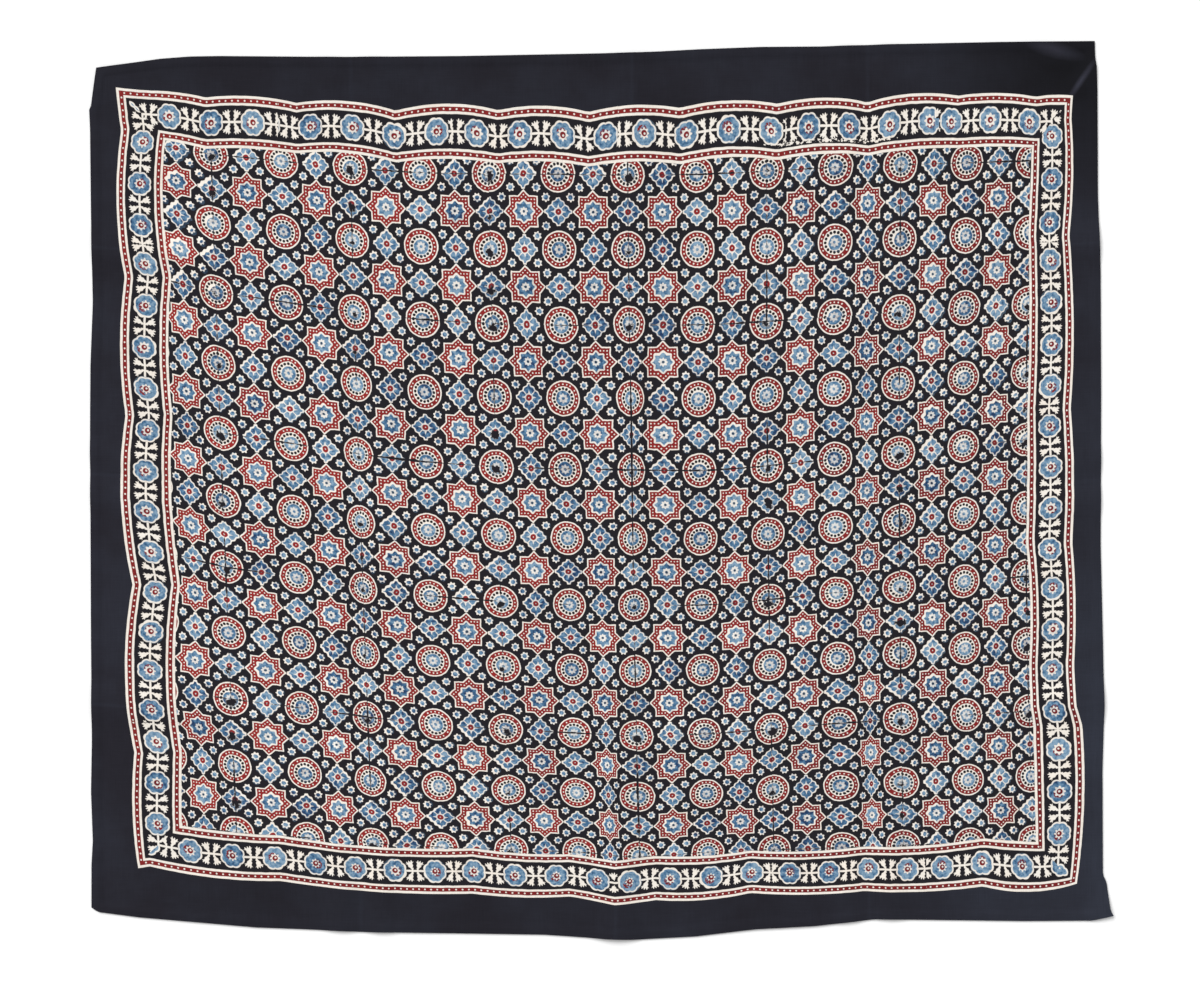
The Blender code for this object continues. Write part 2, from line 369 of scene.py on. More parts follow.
def arched_line(places, values, bulges):
    """A line of shallow arches, each from one cusp to the next."""

    def at(place):
        place = np.clip(place, places[0], places[-1])
        span = np.clip(np.searchsorted(places, place) - 1, 0, len(places) - 2)
        t = (place - places[span]) / (places[span + 1] - places[span])
        straight = values[span] + t * (values[span + 1] - values[span])
        return straight + 4 * bulges[span] * t * (1 - t)

    return at


def border_lines(cusps, side):
    """The border's outer and inner line on one side of the cloth."""
    along, outer, outer_bulge, inner, inner_bulge = np.array(cusps).T * MM
    outer_line = arched_line(along, side * outer, side * outer_bulge)
    return outer_line, arched_line(along, side * inner, side * inner_bulge)


def shifted(line, shift):
    """The same line, moved sideways."""
    return lambda place: line(place) + shift


def soft_bump(distance):
    """A soft hump: 1 at no distance, level again at a distance of 1 and beyond."""
    return np.clip(1 - distance**2, 0, 1) ** 2


def crease_height(crease, away, along):
    """Height over a crease: one ridge, or two low ones with a trough between."""
    away = np.abs(away) / (crease.reach * MM)
    if crease.trough:
        away = 2 * away - 1
    rise = crease.rise * (1 + (crease.fade - 1) * along)
    return rise * MM * soft_bump(away)


def in_oval(oval, x, y):
    """A place along and across an oval from its middle, in shares of its half sizes."""
    lean = radians(oval.turn)
    off_x, off_y = x / MM - oval.x, y / MM - oval.y
    along = (off_x * cos(lean) + off_y * sin(lean)) / oval.half_x
    return along, (off_y * cos(lean) - off_x * sin(lean)) / oval.half_y


def line_shares(steps):
    """Places of the grid lines, counted in guide lines."""
    shares = [first + step / count for first, count in enumerate(steps) for step in range(count)]
    return np.array([*shares, float(len(steps))])


def place_on_lines(share, lines, place):
    """Where a grid line stands at a place: between the two guide lines that its share lies between."""
    rows = np.array([line(place) for line in lines])
    first = np.clip(np.floor(share).astype(int), 0, len(lines) - 2)
    low = np.take_along_axis(rows, first[None], 0)[0]
    high = np.take_along_axis(rows, first[None] + 1, 0)[0]
    return low + (share - first) * (high - low)


class ClothPlan:
    """The cloth seen from above: where each point of its grid lies and how high, all in metres."""

    def __init__(self, sizes):
        inner_hem = sizes.hem_width + sizes.hem_step

        def guides(low_edge, high_edge, low_lines, high_lines):
            low = [low_edge, shifted(low_edge, sizes.hem_width), shifted(low_edge, inner_hem), *low_lines]
            high = [shifted(high_edge, -inner_hem), shifted(high_edge, -sizes.hem_width), high_edge]
            return [*low, *reversed(high_lines), *high]

        columns = guides(
            edge_line(LEFT_EDGE, -1), edge_line(RIGHT_EDGE, 1),
            border_lines(LEFT_CUSPS, -1), border_lines(RIGHT_CUSPS, 1),
        )
        rows = guides(
            edge_line(BOTTOM_EDGE, -1), edge_line(TOP_EDGE, 1),
            border_lines(BOTTOM_CUSPS, -1), border_lines(TOP_CUSPS, 1),
        )
        self.column_share, self.row_share = line_shares(COLUMN_STEPS), line_shares(ROW_STEPS)
        column_share, row_share = np.meshgrid(self.column_share, self.row_share, indexing="ij")
        self.y = np.zeros_like(row_share)
        for _ in range(MEETING_ROUNDS):
            self.x = place_on_lines(column_share, columns, self.y)
            self.y = place_on_lines(row_share, rows, self.x)
        self.upright = [self.x - crease_line(each, HALF_WIDTH)(self.y) for each in UPRIGHT_CREASES]
        self.level = [self.y - crease_line(each, HALF_LENGTH)(self.x) for each in LEVEL_CREASES]
        self.under = self.relief()
        in_hem = (column_share <= 1) | (row_share <= 1)
        in_hem |= (column_share >= len(columns) - 2) | (row_share >= len(rows) - 2)
        self.over = self.under + np.where(in_hem, sizes.hem_thickness, sizes.thickness)

    def relief(self):
        """Height of the cloth's underside over the surface."""
        height = np.zeros_like(self.x)
        from_left = (self.x + HALF_LENGTH) / (2 * HALF_LENGTH)
        from_bottom = (self.y + HALF_WIDTH) / (2 * HALF_WIDTH)
        for crease, away in zip(UPRIGHT_CREASES, self.upright):
            height = np.maximum(height, crease_height(crease, away, from_bottom))
        for crease, away in zip(LEVEL_CREASES, self.level):
            height = np.maximum(height, crease_height(crease, away, from_left))
        for swell in SWELLS:
            away = np.hypot(*in_oval(swell, self.x, self.y))
            height = np.maximum(height, swell.rise * MM * soft_bump(away))
        return height


def through_three(low, middle, high, t):
    """The smooth curve through three values at 0, a half and 1."""
    return low * (2 * t - 1) * (t - 1) + middle * 4 * t * (1 - t) + high * t * (2 * t - 1)


class FieldPrint:
    """Where the field's print lies on the cloth: u counts its columns and v its rows, from the top left."""

    def __init__(self):
        columns = range(len(ROSETTE_COLUMNS))
        self.columns = [smooth_line(columns, places) for places in zip(*ROSETTE_COLUMNS)]
        self.rows = [smooth_line(ROW_COLUMNS, row) for row in ROSETTE_ROWS]
        turned_rows, rights, ups = zip(*LEFT_TURNS)
        self.right, self.up = smooth_line(turned_rows, rights), smooth_line(turned_rows, ups)

    def place(self, u, v, turned=True):
        """The place on the cloth of a point of the print, in metres."""
        down = v / LAST_ROW
        x = through_three(*(column(u) for column in self.columns), down)
        for pinch in PINCHES:
            away = (u - pinch.column) / pinch.half_columns
            near = np.exp(-(((v - pinch.row) / pinch.half_rows) ** 2))
            x = x - pinch.draw * near * away * np.exp((1 - away**4) / 4)
        rows = np.array([row(u) for row in self.rows])
        slopes = np.gradient(rows, axis=0)
        along = np.clip(v / ROW_STEP, 0, len(self.rows) - 1)
        span = np.clip(np.floor(along).astype(int), 0, len(self.rows) - 2)
        t = along - span

        def pick(values, row):
            return np.take_along_axis(values, row[None], 0)[0]

        y = pick(rows, span) * (1 + 2 * t) * (1 - t) ** 2 + pick(slopes, span) * t * (1 - t) ** 2
        y = y + pick(rows, span + 1) * t**2 * (3 - 2 * t) + pick(slopes, span + 1) * t**2 * (t - 1)
        beyond = v / ROW_STEP - along
        y = y + beyond * np.where(beyond > 0, slopes[-1], slopes[0])
        if turned:
            out = 2 * np.clip(-u, 0, None)
            x, y = x + out * self.right(v), y + out * self.up(v)
        return x * MM, y * MM

    def steps(self, u, v, turned=True):
        """How the place on the cloth changes with u, in x and y, and then with v."""
        small = 0.001
        at_x, at_y = self.place(u, v, turned)
        right_x, right_y = self.place(u + small, v, turned)
        down_x, down_y = self.place(u, v + small, turned)
        return [step / small for step in (right_x - at_x, right_y - at_y, down_x - at_x, down_y - at_y)]

    def read(self, x, y):
        """The print's coordinates at places on the cloth, found by Newton's method."""
        u = (x / MM - ROSETTE_COLUMNS[0].middle) / CELL
        v = (ROSETTE_ROWS[0].first - y / MM) / CELL
        for _ in range(NEWTON_ROUNDS):
            at_x, at_y = self.place(u, v)
            xu, yu, xv, yv = self.steps(u, v)
            off_x, off_y = x - at_x, y - at_y
            size = xu * yv - xv * yu
            u = u + np.clip((off_x * yv - off_y * xv) / size, -0.5, 0.5)
            v = v + np.clip((off_y * xu - off_x * yu) / size, -0.5, 0.5)
        return u, v


def band_of(share):
    """The part of the cloth that a grid cell is in, one way, and whether it is left of or below the field."""
    return PARTS[int(share)], share < 4


def across(share, low_side):
    """How far over the border a grid line is, from the outer line at 0 to the inner at 1."""
    return share - 3 if low_side else 6 - share


def flowers_along(settings, place, middle):
    """A place along the border counted in flowers, by the block setting that holds the face's middle."""
    number, setting = [s for s in enumerate(settings) if s[1].start * MM <= middle][-1]
    return (place / MM - setting.first) / setting.step + number * SETTING_GAP


def printed_faces(plan, field):
    """Each face of the sheet's grid as (grid corners, print coordinates, part of the cloth)."""
    u, v = field.read(plan.x, plan.y)
    columns, rows = plan.column_share, plan.row_share
    xu, yu, xv, yv = field.steps(u, v, turned=False)
    sides = (
        (columns, plan.y, yu / xu, (RIGHT_SETTINGS, LEFT_SETTINGS)),
        (rows, plan.x, xv / yv, (TOP_SETTINGS, BOTTOM_SETTINGS)),
    )

    def side_print(corners, way, low_side):
        """Flowers along one side of the border, sheared as the cloth is, and the shares across it."""
        lines, along, slope, settings = sides[way]
        middle = sum(along[c] for c in corners) / len(corners)
        inwards = BAND * MM if low_side else -BAND * MM
        found = []
        for corner in corners:
            share = across(lines[corner[way]], low_side)
            place = along[corner] - slope[corner] * (share - 0.5) * inwards
            found.append((flowers_along(settings[low_side], place, middle), share))
        return found

    for i in range(len(columns) - 1):
        column_part, left = band_of((columns[i] + columns[i + 1]) / 2)
        for j in range(len(rows) - 1):
            row_part, bottom = band_of((rows[j] + rows[j + 1]) / 2)
            corners = [(i, j), (i + 1, j), (i + 1, j + 1), (i, j + 1)]
            if MARGIN in (column_part, row_part):
                yield corners, [(0, 0)] * 4, MARGIN
            elif column_part == row_part == FIELD:
                yield corners, [(u[c], v[c]) for c in corners], FIELD
            elif row_part == FIELD:
                yield corners, side_print(corners, UPRIGHT, left), BORDER
            elif column_part == FIELD:
                yield corners, side_print(corners, LEVEL, bottom), BORDER
            else:
                yield from mitred(corners, columns, rows, left, bottom, side_print)


def mitred(corners, columns, rows, left, bottom, side_print):
    """A face of the border's corner: to one side, to the other, or cut in two along the mitre."""
    off = [across(columns[i], left) - across(rows[j], bottom) for i, j in corners]
    small = 1e-6
    if all(value <= small for value in off):
        yield corners, side_print(corners, UPRIGHT, left), BORDER
    elif all(value >= -small for value in off):
        yield corners, side_print(corners, LEVEL, bottom), BORDER
    else:
        for start in [number for number, value in enumerate(off) if abs(value) <= small]:
            part = [corners[(start + step) % 4] for step in range(3)]
            side = (UPRIGHT, left) if off[(start + 1) % 4] < 0 else (LEVEL, bottom)
            yield part, side_print(part, *side), BORDER


def sheet_mesh(name, sizes):
    """The closed sheet, with the print's coordinates and its distances to the creases."""
    plan = ClothPlan(sizes)
    columns, rows = plan.x.shape
    layer = columns * rows
    faces, prints, parts = [], [], []

    def add_face(points, print_of, part):
        """One face: each point is a grid corner and whether it is on top."""
        faces.append([i * rows + j + layer * on_top for (i, j), on_top in points])
        prints.extend(print_of)
        parts.append(part)

    for corners, print_of, part in printed_faces(plan, FieldPrint()):
        add_face([(c, True) for c in corners], print_of, part)
        add_face([(c, False) for c in reversed(corners)], reversed(print_of), part)
    last_column, last_row = columns - 1, rows - 1
    rim = [(i, 0) for i in range(last_column)] + [(last_column, j) for j in range(last_row)]
    rim += [(last_column - i, last_row - j) for i, j in rim]
    for a, b in zip(rim, rim[1:] + rim[:1]):
        add_face([(a, False), (b, False), (b, True), (a, True)], [(0, 0)] * 4, MARGIN)

    # The middle of the outer sizes stands at zero
    x, y = (values - (values.min() + values.max()) / 2 for values in (plan.x, plan.y))
    under = np.stack((x, y, plan.under), -1).reshape(-1, 3)
    over = np.stack((x, y, plan.over), -1).reshape(-1, 3)
    mesh = bpy.data.meshes.new(name)
    mesh.from_pydata(np.concatenate((under, over)), [], faces)
    mesh.polygons.foreach_set("material_index", parts)
    mesh.uv_layers.new(name=PRINT_UV).uv.foreach_set("vector", np.array(prints, np.float32).ravel())
    for fold, away in (("upright_folds", plan.upright), ("level_folds", plan.level)):
        both = np.tile(np.stack(away, -1).reshape(-1, 3), (2, 1)) / MM
        attribute = mesh.attributes.new(fold, "FLOAT_VECTOR", "POINT")
        attribute.data.foreach_set("vector", both.astype(np.float32).ravel())
    mesh.update()
    mesh.shade_smooth()
    mesh.set_sharp_from_angle(angle=radians(40))
    return mesh


def plug(node, sockets):
    """Gives a node's sockets their values or links."""
    for name, value in sockets.items():
        if isinstance(value, Reading):
            node.id_data.links.new(value.socket, node.inputs[name])
        else:
            node.inputs[name].default_value = value


def maths(operation, *terms, clamp=False):
    """A Math node on sockets and numbers, with at least one socket among them."""
    tree = next(term for term in terms if isinstance(term, Reading)).socket.id_data
    node = tree.nodes.new("ShaderNodeMath")
    node.operation = operation
    node.use_clamp = clamp
    plug(node, dict(enumerate(terms)))
    return Reading(node.outputs[0])


class Reading:
    """A value in a material, so that shader maths reads as plain Python."""

    def __init__(self, socket):
        self.socket = socket

    def __add__(self, other):
        return maths("ADD", self, other)

    __radd__ = __add__

    def __sub__(self, other):
        return maths("SUBTRACT", self, other)

    def __rsub__(self, other):
        return maths("SUBTRACT", other, self)

    def __mul__(self, other):
        return maths("MULTIPLY", self, other)

    __rmul__ = __mul__

    def __truediv__(self, other):
        return maths("DIVIDE", self, other)

    def __abs__(self):
        return maths("ABSOLUTE", self)

    def __round__(self):
        return maths("ROUND", self)


def lower(a, b):
    return maths("MINIMUM", a, b)


def higher(a, b):
    return maths("MAXIMUM", a, b)


def length(a, b):
    """Distance from two lengths at right angles."""
    return maths("SQRT", maths("MULTIPLY_ADD", a, a, b * b))


def turn(up, along):
    """The angle of a direction."""
    return maths("ARCTAN2", up, along)


def petals(angle, count):
    """A wave that goes round a flower, from -1 to 1, once for each petal."""
    return maths("COSINE", angle * count)


def ramped(value, scale, start):
    """A value times a scale from a start, held between 0 and 1."""
    return maths("MULTIPLY_ADD", value, scale, start, clamp=True)


def beside(value, step):
    """How far a value is past the nearest whole step."""
    return value - round(value / step) * step


def within(distance, edge, soft=SOFT_EDGE):
    """1 where a distance is within an edge and 0 beyond it, over a soft step."""
    return ramped(distance, -1 / soft, edge / soft + 0.5)


def beads(angle, radius, off_line, count, size):
    """Round beads set evenly on a ring or band."""
    return within(length(beside(angle, 2 * pi / count) * radius, off_line), size)


class Recipe:
    """A material that is being made."""

    def __init__(self, name):
        self.material = bpy.data.materials.new(name)
        self.material.use_nodes = True
        self.tree = self.material.node_tree
        self.shader = self.tree.nodes["Principled BSDF"]

    def node(self, kind, settings=(), sockets=(), output=0):
        """A node of any kind: its settings first, then its sockets' values or links, then one output."""
        node = self.tree.nodes.new(kind)
        for name, value in dict(settings).items():
            if name == "stops":
                for number, (place, colour) in enumerate(value):
                    ramp = node.color_ramp.elements
                    stop = ramp[number] if number < len(ramp) else ramp.new(place)
                    stop.position, stop.color = place, (*colour, 1)
            else:
                setattr(node, name, value)
        plug(node, dict(sockets))
        return Reading(node.outputs[output])

    def parts(self, vector):
        """The three parts of a vector."""
        node = self.node("ShaderNodeSeparateXYZ", sockets={"Vector": vector}).socket.node
        return [Reading(output) for output in node.outputs]

    def vector(self, x, y, z=0.0):
        return self.node("ShaderNodeCombineXYZ", sockets={"X": x, "Y": y, "Z": z})

    def noise(self, place, scale, detail=2.0, roughness=0.5, output=0):
        """Smooth noise around a half."""
        sockets = {"Vector": place, "Scale": scale, "Detail": detail, "Roughness": roughness}
        return self.node("ShaderNodeTexNoise", {"noise_dimensions": "3D"}, sockets, output)

    def chance(self, x, y, seed, output="Value"):
        """An even random value, or a colour of three, for each whole place."""
        place = {"Vector": self.vector(x, y, seed)}
        return self.node("ShaderNodeTexWhiteNoise", {"noise_dimensions": "3D"}, place, output)

    def mix(self, share, low, high, blend="MIX"):
        """Mixes two colours."""
        low, high = (c if isinstance(c, Reading) else (*c, 1) for c in (low, high))
        settings = {"data_type": "RGBA", "blend_type": blend}
        return self.node("ShaderNodeMix", settings, {0: share, 6: low, 7: high}, 2)

    def ramp(self, share, *stops):
        """Mixes a row of colours, each in full at its own place."""
        return self.node("ShaderNodeValToRGB", {"stops": stops}, {"Fac": share})

    def finish(self, colour, tone, height):
        """Wires the shader of a soft matt cotton, with the tone and height of its threads; in the margin the
        tone also carries painted highlights and painted shade.
        """
        colour = self.mix(1.0, colour, self.vector(tone, tone, tone), "MULTIPLY")
        bump = self.node("ShaderNodeBump", sockets={"Strength": 0.6, "Distance": MM, "Height": height})
        plug(self.shader, {"Base Color": colour, "Normal": bump})
        plug(self.shader, {"Roughness": 0.88, "Specular IOR Level": 0.12})
        plug(self.shader, {"Sheen Weight": 0.04, "Sheen Roughness": 0.5})
        return self.material


def cotton(name):
    """A new recipe, the place on the cloth in metres, its x and y, and its threads."""
    recipe = Recipe(name)
    place = recipe.node("ShaderNodeTexCoord", output="Object")
    x, y, _ = recipe.parts(place)
    return recipe, place, x, y, threads(recipe, x, y)


def threads(recipe, x, y):
    """The plain weave: the tone of its threads, around 1, and their height in millimetres."""
    lengthwise = recipe.noise(recipe.vector(x * 900, y * 35), 1)
    crosswise = recipe.noise(recipe.vector(x * 35, y * 900, 7), 1)
    tone = 0.65 + 0.35 * (lengthwise + crosswise)
    count = 2 * pi / (THREAD_STEP * MM)
    over = maths("SINE", x * count) * maths("SINE", y * count)
    return tone, 0.03 * over + 0.12 * (lengthwise + crosswise)


def folds(recipe):
    """The sharp middles of the creases: 1 on their lines, where the margin gets a painted highlight."""
    near = None
    for name in ("upright_folds", "level_folds"):
        away = recipe.node("ShaderNodeAttribute", {"attribute_name": name}, output="Vector")
        for part in recipe.parts(away):
            line = within(abs(part), 1.6, 3.2)
            near = line if near is None else higher(near, line)
    return near


def margin_material(dyes):
    """The plain dyed margin, with a painted highlight along its creases, and painted highlights and painted
    shade from the patches.
    """
    recipe, place, x, y, (tone, height) = cotton("dyed_margin")
    mottle = recipe.noise(place, 9.0, 4.0, 0.6)
    blue_right, blue_low = ramped(x, 2.6, -0.75), ramped(y, -1.3, 0.5)
    fade = ramped(mottle - 0.5, 1.1, blue_right * blue_low * 0.9 + 0.12)
    colour = recipe.mix(fade, dyes.margin, dyes.faded_and_crease_light)
    # Painted highlight: the margin is lightened towards the faded blue along the creases' lines.
    colour = recipe.mix(folds(recipe) * 0.15, colour, dyes.faded_and_crease_light)
    # Painted light: the patches make the tone lighter on the corner's fold ridges as painted highlights,
    # darker around them as painted shade, and lighter over the left margin.
    for patch in SHEEN_AND_SHADE_PATCHES:
        tone = tone * (1 + patch.lighter * within(length(*in_oval(patch, x, y)), 0.5, 1.0))
    return recipe.finish(colour, tone, height)


class Inks(dict):
    """The print as it builds up, motif by motif: resist white, open cotton, red and indigo."""

    def add(self, **inks):
        for name, ink in inks.items():
            self[name] = higher(self[name], ink) if name in self else ink


def dyed(recipe, inks, dyes, place, grain, tint, deep):
    """The colour of the inks over each other, with the mottling of hand dyeing; deep darkens the red."""
    mottle = recipe.noise(grain, 16.0, 3.0, 0.6)
    strength = ramped(mottle - 0.5, 2.8, 0.5 + (tint - 0.5) * 0.5)
    indigo = recipe.ramp(strength, (0, dyes.pale_blue), (0.55, dyes.blue), (1, dyes.deep_blue))
    cotton = recipe.mix(recipe.noise(place, 30), dyes.white, dyes.cream)
    thin = recipe.mix(strength * 0.34, cotton, indigo)
    over_cotton = recipe.mix(inks["white"], indigo, thin)
    printed = recipe.mix(inks["indigo"], cotton, over_cotton)
    ground = recipe.mix(inks["indigo"] * 0.25, dyes.ground, indigo)
    light = maths("ADD", inks["white"], inks["open"], clamp=True)
    colour = recipe.mix(light, ground, printed)
    madder = recipe.mix(ramped(strength, 0.5, deep), dyes.red, dyes.dark_red)
    return recipe.mix(inks["red"], colour, madder)


def folded(u, v):
    """A point's distances from the nearest rosette, the farther and the nearer, in millimetres."""
    across, down = abs(u - round(u)), abs(v - round(v))
    return higher(across, down) * CELL, lower(across, down) * CELL


def rosette(inks, far, near, slipped):
    """A beaded red ring, a cream ring with black beads and a blue eye."""
    radius, angle = length(far, near), turn(near, far)
    outside, band = within(radius, ROSETTE), within(radius, ROSETTE_BAND)
    cream, eye = within(radius, ROSETTE_CREAM), within(radius, ROSETTE_EYE)
    red = band - cream
    white_beads = beads(angle, radius, radius - RED_BEAD_RING, RED_BEADS, RED_BEAD)
    black_beads = beads(angle, radius, radius - BLACK_BEAD_RING, BLACK_BEADS, BLACK_BEAD)
    flower = within(radius - petals(angle, 8) * 0.7, EYE_FLOWER + 0.4, 1.2) - within(radius, EYE_CENTRE)
    white = outside - band + red * white_beads + (cream - eye) * (1 - black_beads) + flower * 0.8
    indigo = within(length(*slipped), ROSETTE_EYE + 0.6)
    inks.add(white=white, open=eye, red=red * (1 - white_beads), indigo=indigo)


def star_fold(side_x, side_y):
    """A place in one sixteenth of a star: towards its tip and across, then out to its side and along it."""
    radius, angle = length(side_x, side_y), turn(side_x, side_y)
    off = abs(beside(angle, pi / 4))
    towards, across = radius * maths("COSINE", off), radius * maths("SINE", off)
    return towards, across, (towards + across) * sqrt(0.5), (towards - across) * sqrt(0.5)


def star(inks, far, near, slipped):
    """An eight-pointed star with a beaded red band and a blue heart."""
    side_x, side_y = CELL / 2 - far, CELL / 2 - near
    towards, across, out, along = star_fold(side_x, side_y)
    outside, band = within(out, STAR), within(out, STAR - STAR_RED)
    radius = length(side_x, side_y)
    inner = within(out, STAR - STAR_INNER) * within(radius, STAR_BLUNT)
    red = band - inner
    ring = STAR - STAR_BEAD_DEPTH
    notch = ring * (sqrt(2) - 1)
    step = (ring - notch) / STAR_BEAD_STEPS
    count = (along - notch) / step
    white_beads = within(length((count - round(count)) * step, out - ring), STAR_BEAD)
    notch_x, notch_y = HEART_NOTCH * cos(pi / 8), HEART_NOTCH * sin(pi / 8)
    lean = (HEART_TIP - notch_x) / notch_y
    heart = within((towards + across * lean) * 0.7, HEART_TIP * 0.7)
    flower = within(radius - petals(turn(side_x, side_y), 8) * 0.6, EYE_FLOWER) - within(radius, EYE_CENTRE)
    white = outside - band + red * white_beads + (inner - heart) + flower
    slipped_x, slipped_y = (CELL / 2 - part for part in slipped)
    indigo = within(length(slipped_x, slipped_y) - petals(turn(slipped_x, slipped_y), 8) * 1.2, 10.2)
    inks.add(white=white, open=heart - within(radius, EYE_PIP), red=red * (1 - white_beads), indigo=indigo)


def lozenge_edge(along, across):
    """Distance outside the scalloped outline of a lozenge, and its folded parts."""
    big, small = higher(along, across), lower(along, across)
    out, side = (big + small) * sqrt(0.5), (big - small) * sqrt(0.5)
    scallops = maths("COSINE", side * (2 * pi / LOZENGE_LOBE)) * LOZENGE_WAVE
    return higher(out + scallops - LOZENGE, length(along, across) - LOZENGE_TIP), big, small, side


def lozenge(inks, far, near, slipped):
    """A flower of four broad and four narrow petals in a scalloped lozenge."""
    along, across = abs(CELL / 2 - far), near * LOZENGE_SQUEEZE
    edge, big, small, side = lozenge_edge(along, across)
    radius = length(along, across)
    outside, inside = within(edge, 0.0), within(edge, -LOZENGE_LINE)
    rays = higher(within(small * 3.5 + big, LOZENGE_RAY), within(side, LOZENGE_VEIN))
    heart = higher(rays, within(radius, LOZENGE_HEART))
    eye, pip = within(radius, LOZENGE_EYE), within(radius, 0.7)
    white = outside - inside + inside * heart * (1 - eye) + pip
    slip = lozenge_edge(abs(CELL / 2 - slipped[0]), slipped[1] * LOZENGE_SQUEEZE)[0]
    inks.add(white=white, open=inside * (1 - eye), red=eye - pip, indigo=within(slip, -0.5))


def blossom(inks, far, near, slipped):
    """A small seven-petalled flower."""
    side_x, side_y = far - BLOSSOM_FAR, near - BLOSSOM_NEAR
    radius = length(side_x, side_y)
    outside = within(radius - petals(turn(side_y, side_x), 7) * 0.65, BLOSSOM)
    eye = within(radius, BLOSSOM_EYE)
    slip = length(slipped[0] - BLOSSOM_FAR, slipped[1] - BLOSSOM_NEAR)
    inks.add(white=outside - eye, open=eye, indigo=within(slip, BLOSSOM_EYE + 1.2))


def field_material(dyes, sizes):
    """The field's print: rosettes, stars, lozenges and blossoms, two by two to a block."""
    recipe, place, x, _, (tone, height) = cotton("field_print")
    uv = recipe.node("ShaderNodeUVMap", {"uv_map": PRINT_UV})
    wobble_u, wobble_v, _ = recipe.parts(recipe.noise(uv, 9.0, 3.0, 0.6, "Color"))
    plain_u, plain_v, _ = recipe.parts(uv)
    block_u = maths("FLOOR", plain_u / PRINTS_PER_BLOCK)
    block_v = maths("FLOOR", plain_v / PRINTS_PER_BLOCK)
    slip_u, slip_v, indigo_u = recipe.parts(recipe.chance(block_u, block_v, 3.0, "Color"))
    _, indigo_v, _ = recipe.parts(recipe.chance(block_u, block_v, 11.0, "Color"))
    slip, indigo_slip = (2 * size / MM / CELL for size in (sizes.block_slip, sizes.indigo_slip))
    u = plain_u + (slip_u - 0.5) * slip + (wobble_u - 0.5) * 0.028
    v = plain_v + (slip_v - 0.5) * slip + (wobble_v - 0.5) * 0.028
    far, near = folded(u, v)
    slipped = folded(u + (indigo_u - 0.7) * indigo_slip, v + (indigo_v - 0.7) * indigo_slip)
    inks = Inks()
    for motif in (rosette, star, lozenge, blossom):
        motif(inks, far, near, slipped)

    # Dark lines where two blocks join, and blots down the upright joints, most where four blocks meet
    joint_u = abs(beside(plain_u, PRINTS_PER_BLOCK)) * CELL
    joint_v = abs(beside(plain_v, PRINTS_PER_BLOCK)) * CELL
    ragged = recipe.noise(uv, 9.0, 3.0, 0.7)
    widest = within(abs(plain_u - WIDEST_JOINT), 0.3, 0.1) * 0.5
    come_and_go = recipe.noise(uv, 0.9, 1.0) * 4.0
    joint = within(lower(joint_u - widest, joint_v) + ragged * 3.6 + come_and_go, 4.15)
    blot_v = (plain_v * 2 - round(plain_v * 2)) * (CELL / 2) - BLOT_LOW
    crossing = recipe.chance(round(plain_u / PRINTS_PER_BLOCK), round(plain_v * 2), 9.0)
    scarce = 2.6 - within(joint_v, CELL / 4) * 1.9
    blot = within(length(joint_u, blot_v) * 0.2 + ragged * 4.0 + crossing * scarce, 3.1, 0.3)
    clear = 1 - higher(joint, blot)
    for name in inks:
        inks[name] = inks[name] * clear

    tint = recipe.chance(round(u * 2), round(v * 2), 5.0)
    colour = dyed(recipe, inks, dyes, place, uv, tint * 1.3 - 0.15, x * 0.45 + 0.13)
    return recipe.finish(colour, tone * (1 - x * 0.1), height)


def leaf_pair(off, up):
    """Two stems with a toothed fan leaf at each end."""
    base_x, base_y = abs(off) - LEAF_STEMS, abs(up) - 0.5
    reach, lean = length(base_x, base_y), turn(base_x, base_y)
    lobes = maths("SINE", reach * 1.3) * LEAF_LOBE
    fan = within(abs(lean - LEAF_LEAN) - lobes, LEAF_HALF, 0.08)
    toothed = within(reach - maths("COSINE", (lean - LEAF_LEAN) * LEAF_TEETH) * LEAF_TOOTH, LEAF_REACH)
    stem = within(abs(base_x), 0.8) * within(abs(up), 4.0)
    return higher(fan * toothed, stem)


